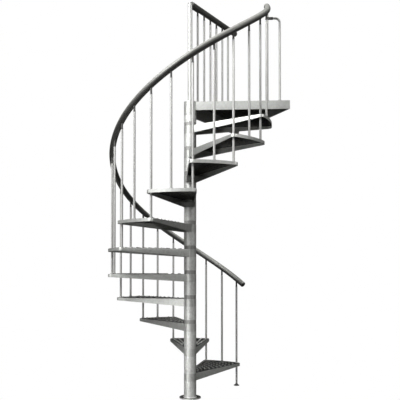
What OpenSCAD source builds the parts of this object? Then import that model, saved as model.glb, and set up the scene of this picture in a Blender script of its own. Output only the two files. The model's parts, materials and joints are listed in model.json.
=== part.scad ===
// Galvanised steel spiral staircase: wedge treads and spacer tubes threaded on a central post,
// a triangular landing at the top, a helical handrail on round balusters and a straight guard.
// The origin is the centre of the base flange's underside. +Z is up, the climb turns from +X to +Y.

/* [Steps] */
// Height of each step, from the floor to the first tread and on to the landing
rise = 228; // [190:1:245]
// Turn of each tread about the column
step_angle = 27.9; // [24:0.01:30]
// Direction of the first baluster, from +X towards +Y
start_angle = 48.5; // [0:0.1:90]

/* [Treads] */
// Radius of the treads' outer edge
tread_r = 751; // [700:1:850]
// Half the width of a tread where its sides cross the column's axis
tread_root_half = 38; // [30:1:42]
// Distance of a shared baluster's axis from the side of its tread
baluster_side_gap = 31; // [20:1:40]
// Radius of a tread's outer corners
corner_r = 30; // [10:1:34]
// Thickness of the folded sheet
sheet = 3; // [2:0.5:5]
// Depth of a tread's side where it meets the hub
root_depth = 71; // [55:1:90]
// Depth of a tread's side and lip at the outer edge
tip_depth = 27; // [20:1:40]
// Reach of the closed box under the root of a tread
box_reach = 275; // [150:1:400]

/* [Column] */
// Outer diameter of the spacer tubes and hubs
column_d = 114; // [108:1:120]
// Wall of the spacer tubes and hubs
column_wall = 4; // [2:0.5:6]
// Outer diameter of the ring on top of each hub
ring_d = 111; // [104:0.5:114]
// Height of the ring on top of each hub
ring_h = 33; // [15:1:45]
// Outer diameter of the central post
post_d = 42.4; // [38:0.1:50]
// Wall of the central post
post_wall = 3; // [2:0.1:5]
// Clearance of the hubs round the central post
post_fit = 0.3; // [0.1:0.1:1]
// Diameter of the base flange
flange_d = 198; // [180:1:260]
// Thickness of the base flange
flange_t = 9; // [6:1:16]
// Pitch circle of the anchor holes
anchor_pcd = 152; // [140:1:160]
// Diameter of the anchor holes
anchor_d = 14; // [9:0.5:18]

/* [Landing] */
// Direction of the landing's front edge, from +X towards -Y
landing_front_turn = 2.77; // [0:0.01:6]
// Angle between the landing's front and back edges
landing_spread = 57.07; // [45:0.01:70]
// Length of the landing's front and back edges
landing_side = 919; // [850:1:1100]
// Distance of the front and back edges outside the column's axis
landing_edge_gap = 21.4; // [18:0.1:40]
// Depth of the front and outer edges
landing_depth = 80; // [60:1:110]
// Depth of the back edge, which carries the guard, and of the hub
landing_back_depth = 130; // [100:1:160]

/* [Balustrade] */
// Diameter of the balusters
baluster_d = 20; // [14:0.5:25]
// Distance of the baluster circle inside the treads' outer edge
baluster_edge_gap = 36; // [28:1:60]
// Clearance of a baluster in the tread that it passes through
baluster_fit = 0.5; // [0.2:0.1:1]
// Diameter of the handrails
rail_d = 54; // [38:0.1:60]
// Height of the handrail's axis above the floor at the first baluster
rail_start_z = 1086; // [900:1:1200]
// Run of the handrail before the first baluster, measured in plan
rail_lead = 87; // [30:1:150]
// Run of the handrail past the last baluster, measured in plan
rail_tail = 42; // [25:1:90]
// Length of a pin between a baluster and a rail
pin_h = 46; // [30:1:60]
// Diameter of a pin
pin_d = 17; // [10:0.5:19]
// Diameter of a pin's lower collar
pin_collar_d = 20; // [14:0.5:22]
// Height of a pin's lower collar
pin_collar_h = 8; // [4:1:14]
// Gap between a pin's top and the rail above it
pin_fit = 0.2; // [0.1:0.1:0.5]
// Diameter of the foot under the first baluster
foot_d = 58; // [40:1:80]
// Thickness of the foot under the first baluster
foot_t = 6; // [4:1:10]

/* [Guard] */
// Height of the guard rail's axis above the landing
guard_h = 924; // [850:1:1100]
// Distance of the guard rail's end from the column's axis
guard_reach = 815; // [790:1:860]
// Distance of the first guard baluster from the column's axis
guard_first = 123; // [110:1:150]
// Distance between guard balusters
guard_pitch = 109; // [95:1:110]
// Number of guard balusters
guard_count = 7; // [5:1:7]
// Angle of the last spiral baluster, which stands on the landing, in front of the landing's edge
last_turn = 3.1; // [2.5:0.1:4]
// Height of the post above the guard rail's axis
post_over = 2; // [0:1:40]
// Drop of the closing tube's level run below the head of the last baluster
closer_drop = 26; // [20:1:200]
// Distance of the closing tube's upright from the last baluster
closer_run = 113; // [100:1:140]
// Bend radius of the closing tube
closer_bend = 42; // [25:1:48]
// Outer diameter of the closing tube's clamp
clamp_d = 30; // [27:0.5:36]
// Height of the closing tube's clamp
clamp_h = 26; // [22:1:40]
// Reach of the clamp's sleeve along the closing tube
sleeve_reach = 50; // [30:1:52]
// Outer diameter of the clamp's sleeve
sleeve_d = 25; // [22:0.5:28]

/* [Hidden] */
$fn = 64;

tread_count = 11;
hub_r = column_d / 2;
hub_bore_r = hub_r - column_wall;
post_bore_r = post_d / 2 + post_fit;
// Angle of a tread's corner from its middle line, and the slope of its sides
corner_angle = step_angle / 2 + asin(baluster_side_gap / tread_r);
corner_x = tread_r * cos(corner_angle);
corner_y = tread_r * sin(corner_angle);
side_angle = atan((corner_y - tread_root_half) / corner_x);
// Polar place of the centre that a tread's outer corner is rounded about
corner_turn_r = tread_r - corner_r;
corner_turn = side_angle + asin((tread_root_half * cos(side_angle) - corner_r) / corner_turn_r);
baluster_r = tread_r - baluster_edge_gap;
landing_z = (tread_count + 1) * rise;
landing_mid = landing_spread / 2 - landing_front_turn;
landing_x = landing_side * cos(landing_spread / 2) - landing_edge_gap * sin(landing_spread / 2);
landing_y = landing_side * sin(landing_spread / 2) + landing_edge_gap * cos(landing_spread / 2);
guard_dir = landing_spread - landing_front_turn;
guard_z = landing_z + guard_h;
post_top = guard_z + post_over;
rail_r = rail_d / 2;
rail_slope = atan(rise / (baluster_r * step_angle * PI / 180));
rail_drop = rail_r / cos(rail_slope) + pin_fit;
last_half = (360 - last_turn - start_angle) / (step_angle / 2);
half_run = baluster_r * step_angle / 2 * PI / 180;
rail_first = -rail_lead / half_run;
rail_last = last_half + rail_tail / half_run;
closer_h = baluster_top(last_half) - landing_z - closer_drop;
cap_t = 4;
rail_sides = 16;
rail_rings = 76;
steel = [0.68, 0.69, 0.68];
dark_steel = [0.36, 0.37, 0.35];

// Height of a tread's underside at distance x along its middle line
function tread_floor(x) = -root_depth + (x - hub_r) * (root_depth - tip_depth) / (corner_x - hub_r);
function tread_z(i) = i * rise;
function half_angle(n) = start_angle + n * step_angle / 2;
function rail_z(n) = rail_start_z + n * rise / 2;
function baluster_top(n) = rail_z(n) - rail_drop - pin_h;

// Plan of a tread drawn in by a wall, its middle line along +X, with its outer corners rounded
module tread_plan(wall) {
    half = tread_root_half - wall / cos(side_angle);
    root = [-wall, half - wall * tan(side_angle)];
    centre = [corner_turn_r * cos(corner_turn), corner_turn_r * sin(corner_turn)];
    edge = centre + (corner_r - wall) * [-sin(side_angle), cos(side_angle)];
    union() {
        polygon([
            [root[0], -root[1]],
            [edge[0], -edge[1]],
            [centre[0], -centre[1]],
            centre,
            edge,
            root
        ]);
        intersection() {
            circle(r = tread_r - wall, $fn = 3 * $fn);
            polygon([[0, 0], 2 * [centre[0], -centre[1]], 2 * centre]);
        }
        for (side = [-1, 1])
            translate([centre[0], side * centre[1]])
                circle(r = corner_r - wall);
    }
}

// Block with a tread's plan, cut to a profile of distances along the middle line and heights
module tread_block(wall, profile) {
    intersection() {
        translate([0, 0, -2 * root_depth])
            linear_extrude(3 * root_depth)
                tread_plan(wall);
        rotate([90, 0, 0])
            linear_extrude(4 * corner_y, center = true)
                polygon(profile);
    }
}

// Folded sheet of a tread: top, tapered sides, outer lip and the closed box under the root
module tread_shell() {
    inside = -hub_r;
    outside = 2 * tread_r;
    difference() {
        tread_block(0, [
            [inside, -root_depth],
            [hub_r, -root_depth],
            [corner_x, -tip_depth],
            [outside, -tip_depth],
            [outside, 0],
            [inside, 0]
        ]);
        tread_block(sheet, [
            [inside, -root_depth + sheet],
            [hub_r, -root_depth + sheet],
            [box_reach, tread_floor(box_reach) + sheet],
            [box_reach, -2 * root_depth],
            [outside, -2 * root_depth],
            [outside, -sheet],
            [inside, -sheet]
        ]);
    }
}

// One pressed tread with its hub, top face at zero
module tread_pressing() {
    difference() {
        union() {
            tread_shell();
            translate([0, 0, -root_depth])
                cylinder(h = root_depth, r = hub_r);
        }
        translate([0, 0, -root_depth - sheet])
            cylinder(h = root_depth, r = hub_bore_r);
        translate([0, 0, -root_depth])
            cylinder(h = 2 * root_depth, r = post_bore_r);
        rotate([0, 0, -step_angle / 2])
            translate([baluster_r, 0, -root_depth])
                cylinder(h = 2 * root_depth, d = baluster_d + 2 * baluster_fit);
    }
}

module tread(i) {
    color(steel)
        translate([0, 0, tread_z(i)])
            rotate([0, 0, half_angle(2 * i - 1)])
                tread_pressing();
}

module base_flange() {
    color(dark_steel)
        difference() {
            cylinder(h = flange_t, d = flange_d);
            for (turn = [45 : 90 : 315])
                rotate([0, 0, turn])
                    translate([anchor_pcd / 2, 0, -1])
                        cylinder(h = flange_t + 2, d = anchor_d);
        }
}

module floor_foot() {
    color(dark_steel)
        rotate([0, 0, start_angle])
            translate([baluster_r, 0, 0])
                cylinder(h = foot_t, d = foot_d);
}

module central_post() {
    color(steel)
        translate([0, 0, flange_t])
            difference() {
                cylinder(h = post_top - cap_t - flange_t, d = post_d);
                translate([0, 0, -1])
                    cylinder(h = post_top, d = post_d - 2 * post_wall);
            }
}

module post_cap() {
    color(dark_steel)
        translate([0, 0, post_top - cap_t])
            cylinder(h = cap_t, d = post_d);
}

// Length of the column from one height to another
module column_length(low, high, outer_d) {
    translate([0, 0, low])
        difference() {
            cylinder(h = high - low, d = outer_d);
            translate([0, 0, -1])
                cylinder(h = high - low + 2, d = outer_d - 2 * column_wall);
        }
}

module column_tubes() {
    color(steel) {
        column_length(flange_t, tread_z(1) - root_depth, column_d);
        for (i = [2 : tread_count])
            column_length(tread_z(i - 1) + ring_h, tread_z(i) - root_depth, column_d);
        column_length(tread_z(tread_count) + ring_h, landing_z - landing_back_depth, column_d);
    }
}

module column_rings() {
    color(dark_steel)
        for (i = [1 : tread_count])
            column_length(tread_z(i), tread_z(i) + ring_h, ring_d);
}

// Plan of the landing, its middle line along +X
module landing_plan() {
    half = landing_spread / 2;
    apex_x = -landing_edge_gap * sin(half);
    apex_y = landing_edge_gap * cos(half);
    polygon([
        [apex_x, -apex_y],
        [landing_x, -landing_y],
        [landing_x, landing_y],
        [apex_x, apex_y]
    ]);
}

// Folded edge of the landing, side is -1 in front and 1 at the back
module landing_side_edge(side, depth) {
    rotate([0, 0, side * landing_spread / 2])
        translate([0, side > 0 ? landing_edge_gap - sheet : -landing_edge_gap, -depth])
            cube([landing_side, sheet, depth]);
}

module landing() {
    color(steel)
        translate([0, 0, landing_z])
            rotate([0, 0, landing_mid])
                difference() {
                    union() {
                        difference() {
                            union() {
                                translate([0, 0, -landing_back_depth])
                                    cylinder(h = landing_back_depth, r = hub_r);
                                landing_side_edge(-1, landing_depth);
                                landing_side_edge(1, landing_back_depth);
                            }
                            translate([0, 0, -landing_back_depth - 1])
                                cylinder(h = landing_back_depth + 1, r = hub_bore_r);
                        }
                        translate([landing_x - sheet, -landing_y, -landing_depth])
                            cube([sheet, 2 * landing_y, landing_depth]);
                        translate([0, 0, -sheet])
                            linear_extrude(sheet)
                                union() {
                                    landing_plan();
                                    circle(r = hub_r);
                                }
                    }
                    translate([0, 0, -landing_back_depth])
                        cylinder(h = 2 * landing_back_depth, r = post_bore_r);
                }
}

// Upright rod of the balustrade at a given direction
module baluster_rod(angle, low, high) {
    rotate([0, 0, angle])
        translate([baluster_r, 0, low])
            cylinder(h = high - low, d = baluster_d);
}

// The shared baluster at a tread's front corner and the one at its middle
module tread_balusters(i) {
    front = 2 * i - 2;
    color(steel) {
        baluster_rod(half_angle(front), i == 1 ? foot_t : tread_z(i - 1), baluster_top(front));
        baluster_rod(half_angle(front + 1), tread_z(i), baluster_top(front + 1));
    }
}

module landing_baluster() {
    color(steel)
        baluster_rod(half_angle(last_half), landing_z, baluster_top(last_half));
}

// Turned pin on a baluster's head, at zero, with its top cut to the slope of the rail above
module rail_pin(slope) {
    difference() {
        union() {
            cylinder(h = pin_collar_h, d = pin_collar_d);
            cylinder(h = pin_h + rail_r, d = pin_d);
        }
        translate([0, 0, pin_h])
            rotate([slope, 0, 0])
                translate([-pin_h, -pin_h, 0])
                    cube([2 * pin_h, 2 * pin_h, rail_d]);
    }
}

module rail_pins() {
    color(dark_steel)
        for (n = concat([for (i = [0 : 2 * tread_count - 1]) i], [last_half]))
            rotate([0, 0, half_angle(n)])
                translate([baluster_r, 0, baluster_top(n)])
                    rail_pin(rail_slope);
}

// Ring of points of the handrail at half step n
function rail_ring(n) = [
    for (k = [0 : rail_sides - 1])
        let (
            a = 360 * k / rail_sides,
            out = rail_r * cos(a),
            up = rail_r * sin(a),
            turn = half_angle(n),
            radius = baluster_r + out,
            along = -up * sin(rail_slope)
        )
        [
            radius * cos(turn) - along * sin(turn),
            radius * sin(turn) + along * cos(turn),
            rail_z(n) + up * cos(rail_slope)
        ]
];

module handrail() {
    rings = [for (r = [0 : rail_rings]) rail_ring(rail_first + (rail_last - rail_first) * r / rail_rings)];
    points = [for (ring = rings) each ring];
    last = rail_rings * rail_sides;
    walls = [
        for (r = [0 : rail_rings - 1], k = [0 : rail_sides - 1])
            let (next = (k + 1) % rail_sides, low = r * rail_sides, high = low + rail_sides)
            [low + k, high + k, high + next, low + next]
    ];
    start_cap = [for (k = [0 : rail_sides - 1]) k];
    end_cap = [for (k = [rail_sides - 1 : -1 : 0]) last + k];
    color(dark_steel)
        polyhedron(points, concat(walls, [start_cap, end_cap]), convexity = 6);
}

module guard_rail() {
    color(dark_steel)
        translate([0, 0, guard_z])
            rotate([0, 0, guard_dir])
                translate([post_d / 2 + pin_fit, 0, 0])
                    rotate([0, 90, 0])
                        cylinder(h = guard_reach - post_d / 2 - pin_fit, d = rail_d);
}

module guard_balusters() {
    color(steel)
        rotate([0, 0, guard_dir])
            for (j = [0 : guard_count - 1])
                translate([guard_first + j * guard_pitch, 0, landing_z])
                    cylinder(h = guard_h - rail_r - pin_fit - pin_h, d = baluster_d);
}

module guard_pins() {
    color(dark_steel)
        rotate([0, 0, guard_dir])
            for (j = [0 : guard_count - 1])
                translate([guard_first + j * guard_pitch, 0, guard_z - rail_r - pin_fit - pin_h])
                    rail_pin(0);
}

// Flat bar from the post to the underside of the guard rail
module post_bracket() {
    bar_w = 25;
    bar_t = 6;
    color(dark_steel)
        rotate([0, 0, guard_dir])
            difference() {
                translate([0, -bar_w / 2, guard_z - rail_r - pin_fit - bar_t])
                    cube([guard_first - pin_d, bar_w, bar_t]);
                translate([0, 0, guard_z - rail_d])
                    cylinder(h = rail_d, d = post_d + 2 * pin_fit);
            }
}

// Bent tube that closes the gap between the last spiral baluster and the landing's corner
module closing_tube() {
    start = [baluster_r * cos(last_turn), -baluster_r * sin(last_turn)];
    color(steel)
        translate([start[0], start[1], landing_z])
            rotate([0, 0, -landing_front_turn])
                difference() {
                    union() {
                        translate([0, 0, closer_h - clamp_h / 2])
                            cylinder(h = clamp_h, d = clamp_d);
                        translate([0, 0, closer_h])
                            rotate([0, 90, 0]) {
                                cylinder(h = sleeve_reach, d = sleeve_d);
                                cylinder(h = closer_run - closer_bend, d = baluster_d);
                            }
                        translate([closer_run - closer_bend, 0, closer_h - closer_bend])
                            rotate([90, 0, 0])
                                rotate_extrude(angle = 90)
                                    translate([closer_bend, 0])
                                        circle(d = baluster_d);
                        translate([closer_run, 0, 0])
                            cylinder(h = closer_h - closer_bend, d = baluster_d);
                    }
                    cylinder(h = 2 * closer_h, d = baluster_d + 2 * pin_fit);
                }
}

base_flange();
floor_foot();
central_post();
column_tubes();
column_rings();
tread(1);  // tread_01
tread(2);  // tread_02
tread(3);  // tread_03
tread(4);  // tread_04
tread(5);  // tread_05
tread(6);  // tread_06
tread(7);  // tread_07
tread(8);  // tread_08
tread(9);  // tread_09
tread(10);  // tread_10
tread(11);  // tread_11
landing();
tread_balusters(1);  // balusters_01
tread_balusters(2);  // balusters_02
tread_balusters(3);  // balusters_03
tread_balusters(4);  // balusters_04
tread_balusters(5);  // balusters_05
tread_balusters(6);  // balusters_06
tread_balusters(7);  // balusters_07
tread_balusters(8);  // balusters_08
tread_balusters(9);  // balusters_09
tread_balusters(10);  // balusters_10
tread_balusters(11);  // balusters_11
landing_baluster();
rail_pins();
handrail();
guard_rail();
guard_balusters();
guard_pins();
post_bracket();
closing_tube();
post_cap();
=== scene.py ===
import json
from collections import namedtuple
from math import asin, atan, atan2, cos, pi, radians, sin, sqrt, tan, tau

import bmesh
import bpy
from bpy.props import FloatProperty, FloatVectorProperty, IntProperty, PointerProperty
from mathutils import Matrix, Vector


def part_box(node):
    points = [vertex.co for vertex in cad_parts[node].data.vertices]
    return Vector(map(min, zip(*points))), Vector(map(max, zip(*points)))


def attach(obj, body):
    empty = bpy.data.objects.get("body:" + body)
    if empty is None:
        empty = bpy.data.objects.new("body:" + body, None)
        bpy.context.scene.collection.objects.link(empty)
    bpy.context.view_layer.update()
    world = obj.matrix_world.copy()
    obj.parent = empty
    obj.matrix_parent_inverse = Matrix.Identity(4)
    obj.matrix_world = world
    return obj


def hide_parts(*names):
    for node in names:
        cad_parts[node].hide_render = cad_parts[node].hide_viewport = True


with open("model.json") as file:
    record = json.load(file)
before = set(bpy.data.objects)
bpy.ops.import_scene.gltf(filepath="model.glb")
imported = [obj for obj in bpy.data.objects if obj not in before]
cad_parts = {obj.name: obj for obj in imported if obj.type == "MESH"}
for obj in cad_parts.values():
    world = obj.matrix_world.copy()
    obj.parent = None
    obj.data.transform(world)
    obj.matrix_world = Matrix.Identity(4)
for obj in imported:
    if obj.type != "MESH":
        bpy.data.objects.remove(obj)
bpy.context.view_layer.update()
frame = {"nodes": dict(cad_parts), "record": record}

bl_info = {
    "name": "Galvanised Spiral Staircase",
    "version": (1, 0, 0),
    "blender": (4, 5, 0),
    "location": "View3D > Sidebar > Staircase",
    "description": "Dresses the staircase frame with folded treads, rails, fittings and zinc finishes",
    "category": "Object",
}

BODY = "root"
TREADS = range(1, 12)
UP = (0.0, 0.0, 1.0)
QUARTER = pi / 2
# The record's millimetres in metres
MM = 0.001
# Plan distance within which CAD vertices belong to the same upright rod
ROD_SPREAD = 0.05
# Angle between faces above which an edge stays sharp
SHARP = radians(32)
# Distance within which vertices are one
MERGE = 1e-6
# Places of a piece's two finishes among its materials: the bare one, and a darker one that on the treads and
# landing is painted shade
BARE, WORN = 0, 1
# Sides of the column's round pieces, and of balusters and their nuts
COLUMN_SIDES = 72
ROD_SIDES = 24
# How far edges are eased: on thin pieces, on most turned pieces and on thick pieces
FINE_EASE = 0.001
EASE = 0.0012
THICK_EASE = 0.0015
# A baluster's rounded head: how far it draws in, and how far below its top
ROUND_HEAD = ((0, 0.004), (0.0025, 0.001), (0.004, 0))
# Treads, counted from the floor, whose rings take the column's brighter finish: a painted highlight for the
# stronger light low on the column
BRIGHT_RINGS = 2
# How light the handrail is painted by the way it faces, from straight down at 0 to straight up at 1: its top
# and its underside are painted bright and its lower flank dark, a painted reflection and shade
HAND_WEAR = ((0.0, 1.0), (0.12, 0.22), (0.30, 0.10), (0.55, 0.30), (0.80, 1.0))

# An upright rod: its plan centre, its radius, and the heights of its foot and head
Rod = namedtuple("Rod", "centre radius foot head")
# A tread's plan: its radius, the direction of a square corner, the slope of its sides,
# and the distance and direction of a rounded corner's centre
TreadPlan = namedtuple("TreadPlan", "radius corner slope reach turn")


def length_property(name, description, default):
    """Property that holds a length"""
    return FloatProperty(name=name, description=description, default=default, unit="LENGTH")


def angle_property(name, description, degrees):
    """Property that holds an angle"""
    return FloatProperty(name=name, description=description, default=radians(degrees), subtype="ANGLE")


def colour_property(name, description, default):
    """Property that holds a colour"""
    return FloatVectorProperty(name=name, description=description, default=default, subtype="COLOR",
                               min=0, max=1)


class StairSizes(bpy.types.PropertyGroup):
    """Sizes of the pieces that the frame doesn't state by itself"""

    sheet: length_property("Sheet", "Thickness of the folded sheet", 0.003)
    fold: length_property("Fold", "Radius of the folds along a sheet's edges", 0.004)
    root_half: length_property("Root half width", "Half width of a tread at the column's axis", 0.038)
    side_gap: length_property("Side gap", "Distance of a shared baluster from its tread's side", 0.031)
    corner: length_property("Corner", "Radius of a tread's outer corners", 0.030)
    tip_depth: length_property("Tip depth", "Depth of a tread's outer lip", 0.027)
    box_reach: length_property("Box reach", "Reach of the closed box under a tread's root", 0.275)
    stud_pitch: length_property("Stud pitch", "Distance between raised studs along a row", 0.060)
    stud_base: length_property("Stud base", "Radius of a raised stud at the sheet", 0.0120)
    stud_height: length_property("Stud height", "Height of a raised stud", 0.0070)
    landing_front: length_property("Landing front", "Depth of the landing's front and outer edges", 0.080)
    landing_spread: angle_property("Landing spread", "Angle between the landing's two long edges", 57.07)
    landing_turn: angle_property("Landing turn", "Direction of the landing's front edge", -2.77)
    landing_gap: length_property("Landing gap", "Distance of the landing's long edges from the axis", 0.0214)
    landing_side: length_property("Landing side", "Length of the landing's long edges", 0.919)
    rail_lead: length_property("Rail lead", "Plan run of the handrail before the first baluster", 0.087)
    closer_bend: length_property("Closer bend", "Bend radius of the closing tube", 0.042)
    clamp_height: length_property("Clamp height", "Height of the closing tube's clamp", 0.026)
    clamp_radius: length_property("Clamp radius", "Radius of the closing tube's clamp", 0.015)
    sleeve_reach: length_property("Sleeve reach", "Reach of the clamp's sleeve along the closing tube", 0.050)
    sleeve_radius: length_property("Sleeve radius", "Radius of the clamp's sleeve", 0.0125)
    sides: IntProperty(name="Round sides", description="Sides of the other round pieces", default=40, min=12)


class StairFinish(bpy.types.PropertyGroup):
    """Colours of the finishes"""

    zinc: colour_property("Zinc", "Galvanised sheet and guard post", (0.53, 0.54, 0.52))
    column: colour_property("Column", "Galvanised column and base flange", (0.64, 0.65, 0.63))
    tube: colour_property("Tube", "Galvanised balusters and closing tube", (0.46, 0.46, 0.45))
    # Guard rail colour, dark as painted shade
    rail: colour_property("Guard rail", "Weathered guard rail", (0.11, 0.11, 0.104))
    # Handrail colour, which the facing ramp then paints bright at the top and underside and dark on the lower
    # flank: painted reflection and shade
    hand_worn: colour_property("Handrail", "Handrail where hands keep it bright", (0.42, 0.42, 0.40))
    ring: colour_property("Rings", "Dull spacer rings of the column", (0.36, 0.36, 0.35))
    # Dark sheet on the tread and landing tops, the studs' flanks and all that faces down: painted shade
    worn: colour_property("Worn tops", "Darkened sheet that is walked on", (0.10, 0.10, 0.098))
    dark: colour_property("Fittings", "Dull dark fittings", (0.075, 0.075, 0.072))


class StairStage(bpy.types.PropertyGroup):
    """Place and framing of the camera"""

    distance: length_property("Distance", "Camera's distance from the axis", 5.0205)
    height: length_property("Height", "Camera's height", 1.1767)
    tilt: angle_property("Tilt", "Camera's tilt above level", 0.9)
    lens: FloatProperty(name="Lens", description="Focal length in millimetres", default=48.833, unit="CAMERA")
    shift_x: FloatProperty(name="Shift X", description="Sideways shift", default=0.0247)
    shift_y: FloatProperty(name="Shift Y", description="Upward shift", default=0.1537)


def sizes():
    """The sizes that the scene holds"""
    return bpy.context.scene.stair_sizes


def finish():
    """The colours that the scene holds"""
    return bpy.context.scene.stair_finish


def half_width(node):
    """Half of a CAD node's width, which is a round node's radius"""
    low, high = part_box(node)
    return (high.x - low.x) / 2


def height_of(node):
    """Height of a CAD node"""
    low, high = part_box(node)
    return high.z - low.z


def column_radius():
    """Radius of the spacer tubes and the hubs"""
    return half_width("column_tubes")


def post_radius():
    """Radius of the post, which its cap has too"""
    return half_width("post_cap")


def upright_rods(node):
    """The upright rods in a CAD node, lowest foot first"""
    groups = []
    for vert in frame["nodes"][node].data.vertices:
        for group in groups:
            if (group[0].xy - vert.co.xy).length < ROD_SPREAD:
                group.append(vert.co)
                break
        else:
            groups.append([vert.co])
    rods = []
    for group in groups:
        xs, ys, zs = zip(*group)
        centre = Vector(((min(xs) + max(xs)) / 2, (min(ys) + max(ys)) / 2))
        rods.append(Rod(centre, (max(xs) - min(xs)) / 2, min(zs), max(zs)))
    return sorted(rods, key=lambda rod: rod.foot)


def baluster_pair(number):
    """The baluster that a tread shares with its neighbour, and the one at its middle"""
    shared, middle = upright_rods(f"balusters_{number:02d}")
    return shared, middle


def tread_name(number):
    """Name of a tread's CAD node"""
    return f"tread_{number:02d}"


def tread_top(number):
    """Height of a tread's walked-on side"""
    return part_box(tread_name(number))[1].z


def direction(place):
    """Plan direction of a place from the column's axis"""
    return atan2(place.y, place.x)


def verts_in(items):
    """The vertices among some items of a bmesh"""
    return [item for item in items if isinstance(item, bmesh.types.BMVert)]


def edges_in(items):
    """The edges among some items of a bmesh"""
    return [item for item in items if isinstance(item, bmesh.types.BMEdge)]


def edges_at(verts):
    """The edges that some vertices have"""
    return list({edge for vert in verts for edge in vert.link_edges})


def paint(items, index):
    """Gives the faces among some items of a bmesh one of their piece's materials"""
    for item in items:
        if isinstance(item, bmesh.types.BMFace):
            item.material_index = index


def move(bm, matrix):
    """Transforms a whole bmesh"""
    bmesh.ops.transform(bm, matrix=matrix, verts=bm.verts[:], space=Matrix.Identity(4))


def lift(bm, verts, height):
    """Moves some vertices up"""
    bmesh.ops.translate(bm, vec=(0, 0, height), verts=verts)


def circle(bm, radius, sides, place=(0, 0)):
    """Adds a level ring of edges and returns its vertices"""
    return bmesh.ops.create_circle(bm, cap_ends=False, segments=sides, radius=radius,
                                   matrix=Matrix.Translation((*place, 0)))["verts"]


def fill(bm, edges):
    """Fills level outlines and leaves the holes inside them open"""
    return bmesh.ops.triangle_fill(bm, use_beauty=True, use_dissolve=False, normal=UP, edges=edges)["geom"]


def extrude(bm, edges):
    """Starts a wall at some edges and returns what is new"""
    return bmesh.ops.extrude_edge_only(bm, edges=edges)["geom"]


def round_edges(bm, edges, offset):
    """Rounds some edges off"""
    bmesh.ops.bevel(bm, geom=edges, offset=offset, segments=2, profile=0.5, affect="EDGES", material=-1)


def sweep(bm, items, centre, angle, steps, axis=UP, rise=0.0):
    """Carries items round an axis, with a rise at each step, and returns the last ones"""
    return bmesh.ops.spin(bm, geom=items, cent=centre, axis=axis, dvec=(0, 0, rise), angle=angle, steps=steps,
                          use_merge=False, use_duplicate=False)["geom_last"]


def lathe(bm, profile, centre=(0.0, 0.0), sides=None):
    """Spins a profile of radii and heights round an upright axis"""
    old = set(bm.verts)
    verts = [bm.verts.new((centre[0] + radius, centre[1], height)) for radius, height in profile]
    edges = [bm.edges.new(pair) for pair in zip(verts, verts[1:])]
    bmesh.ops.spin(bm, geom=verts + edges, cent=(centre[0], centre[1], 0), axis=UP, dvec=(0, 0, 0),
                   angle=tau, steps=sides or sizes().sides, use_merge=True, use_duplicate=False)
    new = [vert for vert in bm.verts if vert not in old]
    bmesh.ops.remove_doubles(bm, verts=new, dist=MERGE)


def tube_profile(outer, inner, low, high, edge=EASE):
    """Closed profile of a tube with eased edges"""
    return [
        (inner, low), (outer - edge, low), (outer, low + edge), (outer, high - edge),
        (outer - edge, high), (inner, high), (inner, low),
    ]


def mesh_from(bm, name):
    """Makes a bmesh a mesh"""
    mesh = bpy.data.meshes.new(name)
    bm.to_mesh(mesh)
    bm.free()
    return mesh


def finish_piece(name, bm, materials, nodes=()):
    """Makes a bmesh a piece of the staircase that rides on the frame"""
    bmesh.ops.recalc_face_normals(bm, faces=bm.faces)
    place_mesh(name, mesh_from(bm, name), materials, nodes)


def place_mesh(name, mesh, materials, nodes=()):
    """Puts a mesh on the frame, in the place of some CAD nodes"""
    for material in materials:
        mesh.materials.append(material)
    mesh.shade_smooth()
    mesh.set_sharp_from_angle(angle=SHARP)
    piece = bpy.data.objects.new(name, mesh)
    bpy.context.scene.collection.objects.link(piece)
    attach(piece, BODY)
    if nodes:
        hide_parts(*nodes)


class Nodes:
    """Short way to add and link shader nodes"""

    def __init__(self, owner):
        owner.use_nodes = True
        self.tree = owner.node_tree
        self.tree.nodes.clear()

    def add(self, kind, **inputs):
        """Adds a node; an input's name has an underscore where the socket's name has a space"""
        node = self.tree.nodes.new(kind)
        for name, value in inputs.items():
            self.join(value, node.inputs[name.replace("_", " ")])
        return node

    def join(self, value, socket):
        """Links a socket to another, or gives it a constant"""
        if isinstance(value, bpy.types.NodeSocket):
            self.tree.links.new(value, socket)
        else:
            socket.default_value = value

    def add_scaled(self, colour, factor):
        """Multiplies a colour by a factor"""
        node = self.add("ShaderNodeVectorMath")
        node.operation = "SCALE"
        self.join(colour, node.inputs[0])
        self.join(factor, node.inputs["Scale"])
        return node

    def add_ramp(self, share, stops):
        """Adds a colour ramp, with its stops given as places and colours, lowest first"""
        node = self.add("ShaderNodeValToRGB", Fac=share)
        elements = node.color_ramp.elements
        for element, (place, colour) in zip(elements, (stops[0], stops[-1])):
            element.position = place
            element.color = (*colour, 1)
        for place, colour in stops[1:-1]:
            elements.new(place).color = (*colour, 1)
        return node


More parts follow.
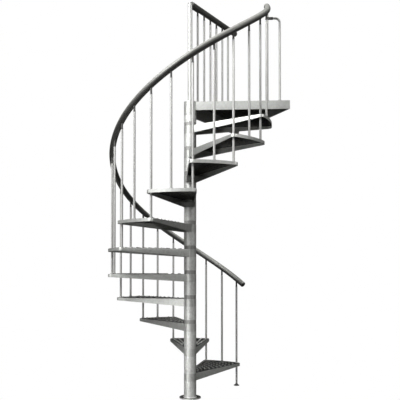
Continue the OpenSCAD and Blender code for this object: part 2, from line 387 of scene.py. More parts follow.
def zinc_material(name, colour, metallic, roughness, spangle, contrast, wear=()):
    """Hot-dip zinc: crystal spangle, cloudy patches and a fine pickled grain

    Spangle is the size of a crystal, contrast is how much crystals and patches differ in tone, and the facing
    ramp, where given, paints the zinc lighter at some facings and darker at others: painted reflection and
    shade.
    """
    material = bpy.data.materials.get(name)
    if material:
        return material
    material = bpy.data.materials.new(name)
    make = Nodes(material)
    place = make.add("ShaderNodeTexCoord").outputs["Object"]
    crystals = make.add("ShaderNodeTexVoronoi", Vector=place, Scale=1 / spangle)
    grey = make.add("ShaderNodeSeparateColor", Color=crystals.outputs["Color"]).outputs["Red"]
    clouds = make.add("ShaderNodeTexNoise", Vector=place, Scale=6.0, Detail=5.0, Roughness=0.6).outputs["Fac"]
    grain = make.add("ShaderNodeTexNoise", Vector=place, Scale=420.0, Detail=3.0).outputs["Fac"]
    blend = make.add("ShaderNodeMath", Value=grey)
    blend.operation = "ADD"
    make.join(clouds, blend.inputs[1])
    tone = make.add("ShaderNodeMapRange", Value=blend.outputs[0], From_Min=0.2, From_Max=1.6,
                    To_Min=1 - contrast, To_Max=1 + contrast)
    tint = make.add_scaled(colour, tone.outputs[0])
    # Painted reflection and shade: the colour is scaled by a ramp on how far the surface faces up
    if wear:
        facing = make.add("ShaderNodeNewGeometry").outputs["Normal"]
        rise = make.add("ShaderNodeSeparateXYZ", Vector=facing).outputs["Z"]
        share = make.add("ShaderNodeMapRange", Value=rise, From_Min=-1.0)
        ramp = make.add_ramp(share.outputs[0], [(stop, (light,) * 3) for stop, light in wear])
        tint = make.add_scaled(tint.outputs[0], ramp.outputs["Color"])
    gloss = make.add("ShaderNodeMapRange", Value=grey, To_Min=roughness - 0.02, To_Max=roughness + 0.03)
    bump = make.add("ShaderNodeBump", Height=grain, Strength=0.12, Distance=0.0006)
    shader = make.add("ShaderNodeBsdfPrincipled", Base_Color=tint.outputs[0], Metallic=metallic,
                      Roughness=gloss.outputs[0], Normal=bump.outputs[0])
    make.add("ShaderNodeOutputMaterial", Surface=shader.outputs[0])
    return material


def zinc():
    return zinc_material(
        "galvanised_zinc", finish().zinc, metallic=0.6, roughness=0.42, spangle=0.016, contrast=0.10)


def column_zinc():
    return zinc_material(
        "galvanised_column", finish().column, metallic=0.55, roughness=0.50, spangle=0.016, contrast=0.14)


def tube_zinc():
    return zinc_material(
        "galvanised_tube", finish().tube, metallic=0.35, roughness=0.45, spangle=0.012, contrast=0.06)


def ring_zinc():
    return zinc_material(
        "dull_ring_zinc", finish().ring, metallic=0.5, roughness=0.62, spangle=0.010, contrast=0.10)


# Dark sheet for tops, stud flanks and undersides: painted shade
def worn_top():
    return zinc_material(
        "worn_tread_zinc", finish().worn, metallic=1.0, roughness=0.38, spangle=0.020, contrast=0.15)


# Dark guard rail zinc: painted shade
def rail_zinc():
    return zinc_material(
        "weathered_rail_zinc", finish().rail, metallic=0.3, roughness=0.36, spangle=0.012, contrast=0.12)


# Handrail zinc with a painted reflection and shade by the way it faces
def hand_worn_zinc():
    return zinc_material("hand_worn_rail_zinc", finish().hand_worn,
                         metallic=0.3, roughness=0.48, spangle=0.012, contrast=0.12, wear=HAND_WEAR)


def dark_zinc():
    return zinc_material(
        "dull_dark_zinc", finish().dark, metallic=0.4, roughness=0.55, spangle=0.010, contrast=0.18)


class STAIR_OT_base(bpy.types.Operator):
    """Base flange with open anchor holes, its weld, and the foot under the first baluster"""

    bl_idname = "stair.base"
    bl_label = "Base flange and foot"

    # Direction of the first anchor hole, and the sides of each
    first_anchor = radians(45)
    hole_sides = 20
    # Weld round the column: its leg, its height, its belly and how far it runs into the wall
    weld_leg = 0.006
    weld_height = 0.007
    weld_belly = (0.0035, 0.004)
    weld_sink = 0.001
    # Collar on the foot, round the first baluster
    collar_wall = 0.004
    collar_height = 0.012

    def execute(self, context):
        self.flange()
        self.weld()
        self.foot()
        return {"FINISHED"}

    def flange(self):
        """Round plate, dark on top and bright on its rim"""
        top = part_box("base_flange")[1].z
        mounts = {mount["name"]: mount for mount in frame["record"]["mounts"]}
        holes = mounts["base_anchors"]["dims"]
        reach = holes["pcd_mm"] / 2 * MM
        bm = bmesh.new()
        rim = circle(bm, half_width("base_flange"), COLUMN_SIDES)
        for number in range(int(holes["count"])):
            angle = self.first_anchor + number * tau / holes["count"]
            spot = (reach * cos(angle), reach * sin(angle))
            circle(bm, holes["hole_r_mm"] * MM, self.hole_sides, spot)
        outline = bm.edges[:]
        outer = edges_at(rim)
        paint(fill(bm, outline), WORN)
        lift(bm, bm.verts[:], top)
        wall = extrude(bm, outline)
        paint(wall, BARE)
        lift(bm, verts_in(wall), -top)
        fill(bm, edges_in(wall))
        round_edges(bm, outer, THICK_EASE)
        finish_piece("base_flange_plate", bm, [column_zinc(), dark_zinc()], ["base_flange"])

    def weld(self):
        """Fillet weld between the flange and the column"""
        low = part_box("base_flange")[1].z
        wall = column_radius()
        inner = wall - self.weld_sink
        belly, belly_height = self.weld_belly
        bm = bmesh.new()
        lathe(bm, [(inner, low), (wall + self.weld_leg, low), (wall + belly, low + belly_height),
                   (inner, low + self.weld_height), (inner, low)], sides=COLUMN_SIDES)
        finish_piece("base_weld", bm, [column_zinc()])

    def foot(self):
        """Disc and collar under the first baluster"""
        low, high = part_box("floor_foot")
        spot = ((low + high) / 2).xy
        radius = half_width("floor_foot")
        inner = radius - THICK_EASE
        rod = baluster_pair(1)[0].radius
        bm = bmesh.new()
        lathe(bm, [(0, 0), (inner, 0), (radius, THICK_EASE), (radius, high.z - THICK_EASE),
                   (inner, high.z), (0, high.z)], spot)
        lathe(bm, tube_profile(rod + self.collar_wall, rod, high.z, high.z + self.collar_height), spot)
        finish_piece("first_baluster_foot", bm, [dark_zinc()], ["floor_foot"])


class STAIR_OT_column(bpy.types.Operator):
    """Spacer tubes and rings of the column, the post above the landing and its cap"""

    bl_idname = "stair.column"
    bl_label = "Column"

    # Depth and half width of the groove round a ring's middle
    groove = 0.0008
    # The post's wall, and how far its foot is let into the landing
    post_wall = 0.003
    post_sink = 0.001

    def execute(self, context):
        self.spacers()
        self.post()
        self.cap()
        return {"FINISHED"}

    def spacers(self):
        """Tubes between the hubs, and a ring on top of each hub"""
        tubes = bmesh.new()
        rings = bmesh.new()
        ring_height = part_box("column_rings")[1].z - tread_top(TREADS[-1])
        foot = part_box("base_flange")[1].z
        for number in TREADS:
            hub_low, hub_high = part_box(tread_name(number))
            self.tube(tubes, foot, hub_low.z)
            foot = hub_high.z + ring_height
            old = set(rings.faces)
            lathe(rings, self.ring_profile(hub_high.z, foot), sides=COLUMN_SIDES)
            new = [face for face in rings.faces if face not in old]
            # The lowest rings get the column's finish as a painted highlight, the others the dull ring finish
            paint(new, BARE if number <= BRIGHT_RINGS else WORN)
        self.tube(tubes, foot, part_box("landing")[0].z)
        finish_piece("column_spacer_tubes", tubes, [column_zinc()], ["column_tubes"])
        materials = [column_zinc(), ring_zinc()]
        finish_piece("column_spacer_rings", rings, materials, ["column_rings"])

    def tube(self, bm, low, high):
        """One spacer tube"""
        lathe(bm, tube_profile(column_radius(), post_radius(), low, high), sides=COLUMN_SIDES)

    def ring_profile(self, low, high):
        """Closed profile of a ring with a fine groove round its middle"""
        radius = half_width("column_rings")
        inner = post_radius()
        middle = (low + high) / 2
        groove = self.groove
        return [
            (inner, low), (radius - EASE, low), (radius, low + EASE),
            (radius, middle - groove), (radius - groove, middle), (radius, middle + groove),
            (radius, high - EASE), (radius - EASE, high), (inner, high), (inner, low),
        ]

    def post(self):
        """Tube that stands above the landing"""
        radius = post_radius()
        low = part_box("landing")[1].z - self.post_sink
        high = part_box("post_cap")[0].z
        bm = bmesh.new()
        lathe(bm, tube_profile(radius, radius - self.post_wall, low, high, FINE_EASE))
        finish_piece("guard_post", bm, [zinc()], ["central_post"])

    def cap(self):
        """Low cap on the post: a short wall, a shoulder and a slightly domed top"""
        radius = post_radius()
        low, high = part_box("post_cap")
        dome = high.z - low.z
        bm = bmesh.new()
        lathe(bm, [(0, low.z), (radius, low.z), (radius, low.z + 0.4 * dome),
                   (radius - 0.3 * dome, low.z + 0.8 * dome), (0.6 * radius, high.z), (0, high.z)])
        finish_piece("post_cap_dome", bm, [dark_zinc()], ["post_cap"])


def tread_step():
    """Turn from one tread to the next"""
    shared, middle = baluster_pair(1)
    return 2 * (direction(middle.centre) - direction(shared.centre))


def tread_plan():
    """Plan of a tread whose middle line lies along +X"""
    size = sizes()
    # The first tread's vertex that is farthest from the axis
    radius = max(vert.co.xy.length for vert in frame["nodes"][tread_name(1)].data.vertices)
    corner = tread_step() / 2 + asin(size.side_gap / radius)
    slope = atan((radius * sin(corner) - size.root_half) / (radius * cos(corner)))
    reach = radius - size.corner
    turn = slope + asin((size.root_half * cos(slope) - size.corner) / reach)
    return TreadPlan(radius, corner, slope, reach, turn)


def half_tread(along, slope):
    """Half width of a tread at a distance along its middle line"""
    return sizes().root_half + along * tan(slope)


def arc(bm, start, centre, angle, steps):
    """Carries a vertex round a plan centre and returns the last vertex and the edges"""
    before = set(bm.edges)
    last = verts_in(sweep(bm, [start], centre, angle, steps))[0]
    return last, [edge for edge in bm.edges if edge not in before]


def tread_outline(bm):
    """Edges round a tread's plan, its middle line along +X and its top at zero"""
    corner_steps = 6
    lip_steps = 28
    radius = sizes().corner
    plan = tread_plan()
    turn = QUARTER + plan.slope - plan.turn
    root = column_radius() / 2
    half = half_tread(root, plan.slope)
    centre = Vector((plan.reach * cos(plan.turn), plan.reach * sin(plan.turn), 0))
    mirror = Vector((centre.x, -centre.y, 0))
    first = bm.verts.new((root, -half, 0))
    side = bm.verts.new(mirror + radius * Vector((-sin(plan.slope), -cos(plan.slope), 0)))
    near_side = bm.edges.new((first, side))
    point, near_corner = arc(bm, side, mirror, turn, corner_steps)
    point, lip = arc(bm, point, (0, 0, 0), 2 * plan.turn, lip_steps)
    point, far_corner = arc(bm, point, centre, turn, corner_steps)
    last = bm.verts.new((root, half, 0))
    closing = [bm.edges.new((point, last)), bm.edges.new((last, first))]
    return [near_side] + near_corner + lip + far_corner + closing


def tread_stud_places():
    """Plan places of the raised studs, in rows that fan out between the sides

    Every second row is set half a pitch out. Near the root, where the rows come close together,
    every second row stops first, and then all but the middle one.
    """
    size = sizes()
    plan = tread_plan()
    rows = 3
    # Plain sheet along the edges and round the hub, and the space that a baluster's nut needs
    margin = size.stud_base + 0.011
    first = column_radius() + 0.045
    rod_clearance = 0.034
    # Distance between rows below which odd rows stop, and then even ones
    odd_stop = 2.0 * size.stud_base
    even_stop = 1.05 * size.stud_base
    reach = baluster_pair(1)[1].centre.length
    rods = [Vector((reach * cos(angle), reach * sin(angle)))
            for angle in (-tread_step() / 2, 0, tread_step() / 2)]
    count = int((plan.radius - first) / size.stud_pitch) + 1
    places = []
    for row in range(-rows, rows + 1):
        for index in range(count):
            along = first + (index + (row % 2) / 2) * size.stud_pitch
            half = half_tread(along, plan.slope) - margin
            spot = Vector((along, half * row / rows))
            stop = odd_stop if row % 2 else even_stop
            crowded = row != 0 and half / rows < stop
            past_lip = spot.length > plan.radius - margin
            at_rod = any((spot - rod).length < rod_clearance for rod in rods)
            if not (crowded or past_lip or at_rod):
                places.append(spot)
    return places


def raised_sheet(bm, outline, places):
    """Fills an outline round rings of holes and draws each hole up into a raised stud"""
    stud_sides = 8
    size = sizes()
    rings = [edges_at(circle(bm, size.stud_base, stud_sides, place)) for place in places]
    # The sheet's top is painted in the dark finish: painted shade
    paint(fill(bm, outline + [edge for ring in rings for edge in ring]), WORN)
    # A flank in the dark finish as painted shade, a crown left in bare zinc so it stands out light, and the
    # lip of an open hole: how far each draws in, how far it rises, and its finish
    height = size.stud_height
    profile = [(0.88, 0.40 * height, WORN), (0.76, 0.60 * height, BARE), (0.78, -0.12 * height, BARE)]
    for place, ring in zip(places, rings):
        centre = Matrix.Translation((-place.x, -place.y, 0))
        edges = ring
        for shrink, rise, index in profile:
            made = extrude(bm, edges)
            edges = edges_in(made)
            paint(made, index)
            bmesh.ops.scale(bm, vec=(shrink, shrink, 1), space=centre, verts=verts_in(made))
            lift(bm, verts_in(made), rise)


def fold_edges(bm, outline, depth):
    """Folds the sheet down along its outline, to a depth given for each place"""
    made = extrude(bm, outline)
    paint(made, BARE)
    for vert in verts_in(made):
        vert.co.z -= depth(vert.co)
    round_edges(bm, outline, sizes().fold)


def thicken(bm):
    """Gives the folded sheet its thickness, inwards, and paints what faces down in the dark finish as painted
    shade
    """
    facing_down = -0.1
    bmesh.ops.recalc_face_normals(bm, faces=bm.faces)
    bmesh.ops.solidify(bm, geom=bm.faces[:], thickness=sizes().sheet)
    bmesh.ops.recalc_face_normals(bm, faces=bm.faces)
    # What faces down is painted dark: painted shade
    paint([face for face in bm.faces if face.normal.z < facing_down], WORN)


def weld_bead(bm, spot, low, high, radius):
    """Rippled weld along an upright seam"""
    sides = 8
    ripple = 1.6 * radius
    waist = 0.82 * radius
    count = max(4, int((high - low) / ripple))
    profile = [(0, low)]
    for index in range(count):
        base = low + (high - low) * index / count
        profile += [(waist, base + 0.1 * ripple), (radius, base + 0.5 * ripple)]
    profile += [(0, high)]
    lathe(bm, profile, spot, sides)


class STAIR_OT_treads(bpy.types.Operator):
    """Folded treads with raised studs, a box under the root, a hub and its welds"""

    bl_idname = "stair.treads"
    bl_label = "Treads"

    # Radius of the weld along a side plate's seam, and how far it stops short of the seam's ends
    bead = 0.0032
    bead_gap = 0.002

    def execute(self, context):
        pattern = self.pressing()
        for number in TREADS:
            middle = baluster_pair(number)[1]
            mesh = pattern.copy()
            mesh.transform(Matrix.Translation((0, 0, tread_top(number)))
                           @ Matrix.Rotation(direction(middle.centre), 4, "Z"))
            mesh.name = f"folded_{tread_name(number)}"
            place_mesh(mesh.name, mesh, [zinc(), worn_top()], [tread_name(number)])
        bpy.data.meshes.remove(pattern)
        return {"FINISHED"}

    def pressing(self):
        """Mesh of one tread, its middle line along +X and its top at zero"""
        tip_depth = sizes().tip_depth
        plan = tread_plan()
        hub = column_radius()
        root_depth = height_of(tread_name(1))
        fall = (root_depth - tip_depth) / (plan.radius * cos(plan.corner) - hub)

        def depth(place):
            return max(tip_depth, root_depth - max(0, place.x - hub) * fall)

        bm = bmesh.new()
        outline = tread_outline(bm)
        raised_sheet(bm, outline, tread_stud_places())
        fold_edges(bm, outline, depth)
        thicken(bm)
        root = self.root(plan.slope, root_depth, depth)
        bm.from_mesh(root)
        bpy.data.meshes.remove(root)
        return mesh_from(bm, "tread_pattern")

    def root(self, slope, root_depth, depth):
        """Mesh of the plate that closes the box under the root, the hub and the welds on it"""
        size = sizes()
        hub = column_radius()
        bm = bmesh.new()
        corners = []
        for along, side in ((hub, -1), (size.box_reach, -1), (size.box_reach, 1), (hub, 1)):
            half = half_tread(along, slope) - size.sheet
            height = size.sheet - depth(Vector((along, 0, 0)))
            corners.append(bm.verts.new((along, side * half, height)))
        bm.faces.new(corners)
        bmesh.ops.solidify(bm, geom=bm.faces[:], thickness=size.sheet)
        lathe(bm, tube_profile(hub, post_radius(), -root_depth, 0), sides=COLUMN_SIDES)
        # A side plate's outer face meets the hub where the side line crosses the hub's circle
        foot = size.root_half * cos(slope)
        along = sqrt(hub ** 2 - foot ** 2)
        seam = Matrix.Rotation(slope, 2) @ Vector((along, foot))
        for side in (-1, 1):
            spot = (seam.x, side * seam.y)
            weld_bead(bm, spot, self.bead_gap - root_depth, -self.bead_gap, self.bead)
        bmesh.ops.recalc_face_normals(bm, faces=bm.faces)
        return mesh_from(bm, "tread_root")


class STAIR_OT_landing(bpy.types.Operator):
    """Triangular landing: a folded pan with raised studs, a deep back edge and a hub"""

    bl_idname = "stair.landing"
    bl_label = "Landing"

    # Distance between rows of studs, as a share of their pitch along a row
    row_share = 0.62
    # Distance of the studs from the hub, the outer edge and the long edges
    hub_margin = 0.05
    outer_margin = 0.04
    side_margin = 0.045
    # How far the strip along the back edge lies below the sheet's top
    strip_drop = 0.0005

    def execute(self, context):
        size = sizes()
        low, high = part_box("landing")
        back_depth = high.z - low.z
        half = size.landing_spread / 2
        apex = Vector((-size.landing_gap * sin(half), size.landing_gap * cos(half)))
        far = apex + size.landing_side * Vector((cos(half), sin(half)))
        bm = bmesh.new()
        plan = ((apex.x, -apex.y), (far.x, -far.y), (far.x, far.y), (apex.x, apex.y))
        verts = [bm.verts.new((x, y, 0)) for x, y in plan]
        outline = [bm.edges.new(pair) for pair in zip(verts, verts[1:] + verts[:1])]
        raised_sheet(bm, outline, self.stud_places(apex, far, half))
        fold_edges(bm, outline, lambda place: size.landing_front)
        thicken(bm)
        # The back edge carries the guard, so a deeper strip lines it
        strip = Vector((size.landing_side / 2, size.landing_gap - 1.5 * size.sheet,
                        -back_depth / 2 - self.strip_drop))
        bmesh.ops.create_cube(bm, size=1, matrix=Matrix.Rotation(half, 4, "Z") @ Matrix.Translation(strip)
                              @ Matrix.Diagonal((size.landing_side, size.sheet, back_depth, 1)))
        lathe(bm, tube_profile(column_radius(), post_radius(), -back_depth, 0), sides=COLUMN_SIDES)
        move(bm, Matrix.Translation((0, 0, high.z)) @ Matrix.Rotation(size.landing_turn + half, 4, "Z"))
        finish_piece("folded_landing", bm, [zinc(), worn_top()], ["landing"])
        return {"FINISHED"}

    def stud_places(self, apex, far, half):
        """Rows of studs parallel to the outer edge, every second row set half a pitch out"""
        pitch = sizes().stud_pitch
        row_pitch = pitch * self.row_share
        first = column_radius() + self.hub_margin
        last = far.x - self.outer_margin
        places = []
        for row in range(int((last - first) / row_pitch) + 1):
            along = last - row * row_pitch
            side = (along - apex.x) * tan(half) + apex.y - self.side_margin
            count = int(side / pitch)
            for index in range(-count, count + 1):
                spot = Vector((along, (index + (row % 2) / 2) * pitch))
                if abs(spot.y) < side and spot.length > first:
                    places.append(spot)
        return places


def standing_nut(bm, centre, radius, low):
    """Washer and round nut where an upright tube stands"""
    washer_wall = 0.007
    washer_ease = 0.0006
    nut_wall = 0.0035
    seat = low + 0.0025
    top = low + 0.010
    lathe(bm, tube_profile(radius + washer_wall, radius, low, seat, washer_ease), centre, ROD_SIDES)
    lathe(bm, tube_profile(radius + nut_wall, radius, seat, top), centre, ROD_SIDES)


def baluster(bm, rod, has_nut=True):
    """Round baluster with a rounded head, and a nut where it stands on a tread or the landing"""
    head = [(rod.radius - inset, rod.head - drop) for inset, drop in ROUND_HEAD]
    lathe(bm, [(0, rod.foot), (rod.radius, rod.foot), *head, (0, rod.head)], rod.centre, ROD_SIDES)
    if has_nut:
        standing_nut(bm, rod.centre, rod.radius, rod.foot)


class STAIR_OT_balusters(bpy.types.Operator):
    """Balusters of the treads, the landing and the guard"""

    bl_idname = "stair.balusters"
    bl_label = "Balusters"

    # Bush round a shared baluster where it passes through its tread's corner
    bush_wall = 0.005
    bush_height = 0.004

    def execute(self, context):
        for number in TREADS:
            shared, middle = baluster_pair(number)
            bm = bmesh.new()
            # The first baluster stands on its own foot
            baluster(bm, shared, has_nut=number > 1)
            baluster(bm, middle)
            low = tread_top(number)
            bush = tube_profile(shared.radius + self.bush_wall, shared.radius, low, low + self.bush_height,
                                FINE_EASE)
            lathe(bm, bush, shared.centre, ROD_SIDES)
            node = f"balusters_{number:02d}"
            finish_piece(f"round_{node}", bm, [tube_zinc()], [node])
        for node in ("landing_baluster", "guard_balusters"):
            bm = bmesh.new()
            for rod in upright_rods(node):
                baluster(bm, rod)
            finish_piece(f"round_{node}", bm, [tube_zinc()], [node])
        return {"FINISHED"}


class STAIR_OT_pins(bpy.types.Operator):
    """Turned pins between the baluster heads and the rails"""

    bl_idname = "stair.pins"
    bl_label = "Rail pins"

    # Sides of a pin, its stem's share of its radius, and how far it runs into the rail
    sides = 20
    stem_share = 0.85
    rail_sink = 0.008
    # The sloped shoulder, as distances drawn in and heights, and the height where the stem starts
    shoulder = ((0, 0.007), (0.0015, 0.009))
    stem_foot = 0.011

    def execute(self, context):
        for node in ("rail_pins", "guard_pins"):
            bm = bmesh.new()
            for rod in upright_rods(node):
                lathe(bm, self.profile(rod), rod.centre, self.sides)
            finish_piece(f"turned_{node}", bm, [dark_zinc()], [node])
        return {"FINISHED"}

    def profile(self, rod):
        """Profile of a pin: a collar with a sloped shoulder, and a stem"""
        radius, low = rod.radius, rod.foot
        stem = radius * self.stem_share
        top = rod.head + self.rail_sink
        shoulder = [(radius - inset, low + height) for inset, height in self.shoulder]
        return [(0, low), (radius - FINE_EASE, low), (radius, low + FINE_EASE), *shoulder,
                (stem, low + self.stem_foot), (stem, top), (0, top)]


class STAIR_OT_handrail(bpy.types.Operator):
    """Helical handrail with domed end caps"""

    bl_idname = "stair.handrail"
    bl_label = "Handrail"

    # Steps along the rail and sides round it
    steps = 260
    sides = 28
    # How far each ring of an end cap draws in and stands out
    dome = ((0.93, 0.0030), (0.72, 0.0035), (0.35, 0.0015))

    def execute(self, context):
        low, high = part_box("handrail")
        radius = height_of("guard_rail") / 2
        first = baluster_pair(1)[0].centre
        reach = first.length
        # Rise along the helix for each radian of turn
        lead = (tread_top(2) - tread_top(1)) / tread_step()
        slope = atan(lead / reach)
        start = low.z + radius * cos(slope)
        end = high.z - radius * cos(slope)
        begin = direction(first) - sizes().rail_lead / reach
        turn = (end - start) / lead
        bm = bmesh.new()
        ring = circle(bm, radius, self.sides)
        # The ring stands square to the helix, at the start of the rail
        move(bm, Matrix.Rotation(begin, 4, "Z") @ Matrix.Translation((reach, 0, start))
             @ Matrix.Rotation(QUARTER + slope, 4, "X"))
        near = edges_at(ring)
        far = edges_in(sweep(bm, ring + near, (0, 0, 0), turn, self.steps, rise=(end - start) / self.steps))
        along = Vector((0, cos(slope), sin(slope)))
        self.cap(bm, near, Matrix.Rotation(begin, 3, "Z") @ -along)
        self.cap(bm, far, Matrix.Rotation(begin + turn, 3, "Z") @ along)
        finish_piece("helical_handrail", bm, [hand_worn_zinc()], ["handrail"])
        return {"FINISHED"}

    def cap(self, bm, edges, outward):
        """Draws an open end of the tube into a low dome"""
        for shrink, step in self.dome:
            made = extrude(bm, edges)
            verts = verts_in(made)
            edges = edges_in(made)
            centre = sum((vert.co for vert in verts), Vector()) / len(verts)
            bmesh.ops.scale(bm, vec=(shrink,) * 3, space=Matrix.Translation(-centre), verts=verts)
            bmesh.ops.translate(bm, vec=outward * step, verts=verts)
        bmesh.ops.edgeloop_fill(bm, edges=edges)


class STAIR_OT_guard(bpy.types.Operator):
    """Straight guard rail over the landing's back edge and the bar that ties it to the post"""

    bl_idname = "stair.guard"
    bl_label = "Guard rail"

    post_gap = 0.0005
    # The domed far end: shares of the radius, and distances from the tip
    dome = ((1.0, 0.006), (0.93, 0.0025), (0.72, 0.0006), (0.0, 0.0))
    # Width of the tie bar, and how much shorter it is than the space that it fills
    bar_width = 0.025
    bar_gap = 0.002

    def execute(self, context):
        low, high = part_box("guard_rail")
        turn = direction((low + high) / 2)
        self.rail(turn)
        self.tie_bar(turn)
        return {"FINISHED"}

    def rail(self, turn):
        """Round rail with a domed far end"""
        low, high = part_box("guard_rail")
        radius = (high.z - low.z) / 2
        start = post_radius() + self.post_gap
        # The tip, from the box of a round bar that lies along the guard's direction
        tip = (high.x - radius * sin(turn)) / cos(turn)
        bm = bmesh.new()
        near = [(0, start), (radius - THICK_EASE, start), (radius, start + THICK_EASE)]
        lathe(bm, near + [(share * radius, tip - back) for share, back in self.dome])
        move(bm, Matrix.Translation((0, 0, (low.z + high.z) / 2)) @ Matrix.Rotation(turn, 4, "Z")
             @ Matrix.Rotation(QUARTER, 4, "Y"))
        finish_piece("straight_guard_rail", bm, [rail_zinc()], ["guard_rail"])

    def tie_bar(self, turn):
        """Flat bar between the post and the first guard baluster"""
        low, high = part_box("post_bracket")
        near = post_radius()
        far = min(rod.centre.length for rod in upright_rods("guard_balusters"))
        bm = bmesh.new()
        bmesh.ops.create_cube(bm, size=1)
        size = (far - near - self.bar_gap, self.bar_width, high.z - low.z)
        bmesh.ops.scale(bm, vec=size, verts=bm.verts[:])
        round_edges(bm, bm.edges[:], EASE)
        bmesh.ops.translate(bm, vec=((near + far) / 2, 0, (low.z + high.z) / 2), verts=bm.verts[:])
        move(bm, Matrix.Rotation(turn, 4, "Z"))
        finish_piece("guard_tie_bar", bm, [dark_zinc()], ["post_bracket"])


class STAIR_OT_closing_tube(bpy.types.Operator):
    """Bent tube between the last baluster and the landing's corner, with its clamp"""

    bl_idname = "stair.closing_tube"
    bl_label = "Closing tube"

    # Steps round the bend, and sides of the clamp and its sleeve
    bend_steps = 10
    clamp_sides = 28
    clamp_ease = 0.002
    sleeve_gap = 0.002
    # Where the level run ends, as a share of the last baluster's radius
    run_end = 0.9

    def execute(self, context):
        size = sizes()
        rod = upright_rods("landing_baluster")[0]
        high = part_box("closing_tube")[1]
        # The pieces are made with the baluster's foot at the origin and the level run along +X
        run = (high.x - rod.radius - rod.centre.x) / cos(size.landing_turn)
        level = high.z - size.clamp_height / 2 - rod.foot
        place = Matrix.Translation((*rod.centre, rod.foot)) @ Matrix.Rotation(size.landing_turn, 4, "Z")
        self.tube(rod.radius, run, level, place)
        self.clamp(rod.radius, level, place)
        return {"FINISHED"}

    def tube(self, radius, run, level, place):
        """Upright, bend and level run, with the nut that the tube stands in"""
        bend = sizes().closer_bend
        rise = level - bend
        bm = bmesh.new()
        ring = circle(bm, radius, ROD_SIDES, (run, 0))
        upright = extrude(bm, edges_at(ring))
        lift(bm, verts_in(upright), rise)
        bent = sweep(bm, verts_in(upright) + edges_in(upright), (run - bend, 0, rise), QUARTER,
                     self.bend_steps, axis=(0, -1, 0))
        level_run = extrude(bm, edges_in(bent))
        bmesh.ops.translate(bm, vec=(self.run_end * radius + bend - run, 0, 0), verts=verts_in(level_run))
        standing_nut(bm, (run, 0), radius, 0)
        move(bm, place)
        finish_piece("bent_closing_tube", bm, [tube_zinc()], ["closing_tube"])

    def clamp(self, radius, level, place):
        """Clamp round the last baluster, and its sleeve round the tube"""
        size = sizes()
        half = size.clamp_height / 2
        bm = bmesh.new()
        near = radius + self.sleeve_gap
        sleeve = tube_profile(size.sleeve_radius, radius, near, size.sleeve_reach, THICK_EASE)
        lathe(bm, sleeve, sides=self.clamp_sides)
        move(bm, Matrix.Translation((0, 0, level)) @ Matrix.Rotation(QUARTER, 4, "Y"))
        clamp = tube_profile(size.clamp_radius, radius, level - half, level + half, self.clamp_ease)
        lathe(bm, clamp, sides=self.clamp_sides)
        move(bm, place)
        finish_piece("closing_tube_clamp", bm, [dark_zinc()])


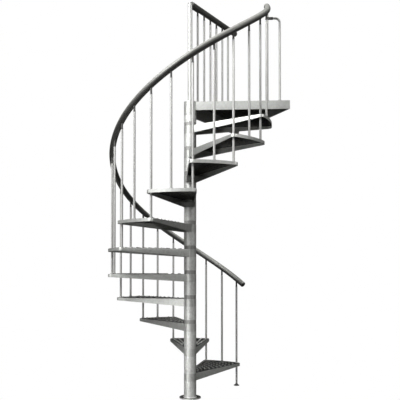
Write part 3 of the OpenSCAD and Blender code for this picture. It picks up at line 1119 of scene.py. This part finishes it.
class STAIR_OT_stage(bpy.types.Operator):
    """Pale floor, soft lights, surroundings and the camera"""

    bl_idname = "stair.stage"
    bl_label = "Stage"

    # Half width of the floor, and how far it lies below the flange
    floor_half = 40
    floor_drop = 0.001
    # What the metal mirrors: below the horizon, at it, above it and overhead
    room_shades = (
        (0.37, (0.015, 0.015, 0.015)),
        (0.50, (0.25, 0.25, 0.245)),
        (0.64, (0.13, 0.13, 0.13)),
        (0.95, (0.80, 0.80, 0.79)),
    )
    # How bright that is in front of the stair, and behind it
    room_front = 1.0
    room_back = 0.12

    def execute(self, context):
        self.floor(context)
        self.surroundings(context)
        self.lights()
        self.camera(context)
        context.scene.view_settings.view_transform = "Standard"
        return {"FINISHED"}

    def floor(self, context):
        """Pale floor that only the camera sees"""
        material = bpy.data.materials.new("pale_floor")
        make = Nodes(material)
        glow = make.add("ShaderNodeEmission", Color=(1, 1, 1, 1), Strength=1.0)
        make.add("ShaderNodeOutputMaterial", Surface=glow.outputs[0])
        bm = bmesh.new()
        bmesh.ops.create_grid(bm, x_segments=1, y_segments=1, size=self.floor_half)
        lift(bm, bm.verts[:], -self.floor_drop)
        mesh = mesh_from(bm, "floor")
        mesh.materials.append(material)
        floor = bpy.data.objects.new("floor", mesh)
        context.scene.collection.objects.link(floor)
        floor.visible_glossy = False
        floor.visible_diffuse = False
        floor.visible_shadow = False

    def surroundings(self, context):
        """White behind the stair, and a dimmer room for what the metal mirrors"""
        world = bpy.data.worlds.new("studio")
        context.scene.world = world
        make = Nodes(world)
        seen = make.add("ShaderNodeLightPath").outputs["Is Camera Ray"]
        white = make.add("ShaderNodeBackground", Color=(1, 1, 1, 1), Strength=1.0)
        aim = make.add("ShaderNodeTexCoord").outputs["Generated"]
        parts = make.add("ShaderNodeSeparateXYZ", Vector=aim)
        height = make.add("ShaderNodeMapRange", Value=parts.outputs["Z"], From_Min=-1.0)
        shade = make.add_ramp(height.outputs[0], self.room_shades)
        depth = make.add("ShaderNodeMapRange", Value=parts.outputs["Y"], From_Min=-1.0,
                         To_Min=self.room_front, To_Max=self.room_back)
        room = make.add("ShaderNodeBackground", Color=shade.outputs[0], Strength=depth.outputs[0])
        mix = make.add("ShaderNodeMixShader", Fac=seen)
        make.join(room.outputs[0], mix.inputs[1])
        make.join(white.outputs[0], mix.inputs[2])
        make.add("ShaderNodeOutputWorld", Surface=mix.outputs[0])

    def lights(self):
        """A key light from the upper left, a tall strip, weak fills and a light from behind"""
        self.light("key", place=(-2.6, -3.1, 5.2), aim=(0, 0, 2.6), size=(1.8, 1.8), power=290)
        self.light("strip", place=(-3.3, -4.1, 1.7), aim=(0, 0, 1.7), size=(2.8, 5.4), power=105)
        low = self.light("low", place=(-2.8, -3.2, 0.25), aim=(0, 0, 0.12), size=(2.6, 0.4), power=1.6)
        low.data.spread = radians(24)
        fore = self.light("front low", place=(-0.5, -5.2, 0.6), aim=(0.1, 0, 0.2), size=(1.2, 0.6), power=0.8)
        fore.data.spread = radians(40)
        self.light("front", place=(1.5, -4.6, 4.4), aim=(0.3, 0, 3.0), size=(2.0, 2.0), power=6)
        self.light("right", place=(4.4, -1.4, 0.4), aim=(0, 0, 0.2), size=(1.0, 0.8), power=4)
        self.light("right top", place=(4.0, -2.4, 4.8), aim=(0.4, 0.4, 3.4), size=(1.6, 1.6), power=70)
        back = self.light("back", place=(0.4, 5.0, 4.2), aim=(0, 0, 1.7), size=(3.0, 3.0), power=250)
        back.visible_glossy = False

    def light(self, name, place, aim, size, power):
        """Soft rectangular light that points at a place"""
        lamp = bpy.data.lights.new(name, "AREA")
        lamp.shape = "RECTANGLE"
        lamp.size, lamp.size_y = size
        lamp.energy = power
        holder = bpy.data.objects.new(name, lamp)
        holder.location = place
        holder.rotation_euler = (Vector(aim) - Vector(place)).to_track_quat("-Z", "Y").to_euler()
        bpy.context.scene.collection.objects.link(holder)
        return holder

    def camera(self, context):
        """Camera in front of the stair, near level, with the picture shifted up"""
        stage = context.scene.stair_stage
        camera = bpy.data.cameras.new("camera")
        camera.lens = stage.lens
        camera.shift_x = stage.shift_x
        camera.shift_y = stage.shift_y
        viewer = bpy.data.objects.new("camera", camera)
        viewer.location = (0, -stage.distance, stage.height)
        viewer.rotation_euler = (QUARTER + stage.tilt, 0, 0)
        context.scene.collection.objects.link(viewer)
        context.scene.camera = viewer


OPERATORS = (
    STAIR_OT_base, STAIR_OT_column, STAIR_OT_treads, STAIR_OT_landing, STAIR_OT_balusters, STAIR_OT_pins,
    STAIR_OT_handrail, STAIR_OT_guard, STAIR_OT_closing_tube, STAIR_OT_stage,
)


class STAIR_PT_panel(bpy.types.Panel):
    """Lists the staircase's pieces"""

    bl_idname = "STAIR_PT_panel"
    bl_label = "Spiral staircase"
    bl_space_type = "VIEW_3D"
    bl_region_type = "UI"
    bl_category = "Staircase"

    def draw(self, context):
        for operator in OPERATORS:
            self.layout.operator(operator.bl_idname)


GROUPS = {"stair_sizes": StairSizes, "stair_finish": StairFinish, "stair_stage": StairStage}
CLASSES = (*GROUPS.values(), *OPERATORS, STAIR_PT_panel)


def register():
    for cls in CLASSES:
        bpy.utils.register_class(cls)
    for name, group in GROUPS.items():
        setattr(bpy.types.Scene, name, PointerProperty(type=group))


def unregister():
    for name in GROUPS:
        delattr(bpy.types.Scene, name)
    for cls in reversed(CLASSES):
        bpy.utils.unregister_class(cls)


def main():
    register()
    for operator in OPERATORS:
        family, name = operator.bl_idname.split(".")
        getattr(getattr(bpy.ops, family), name)()


if __name__ == "__main__":
    main()
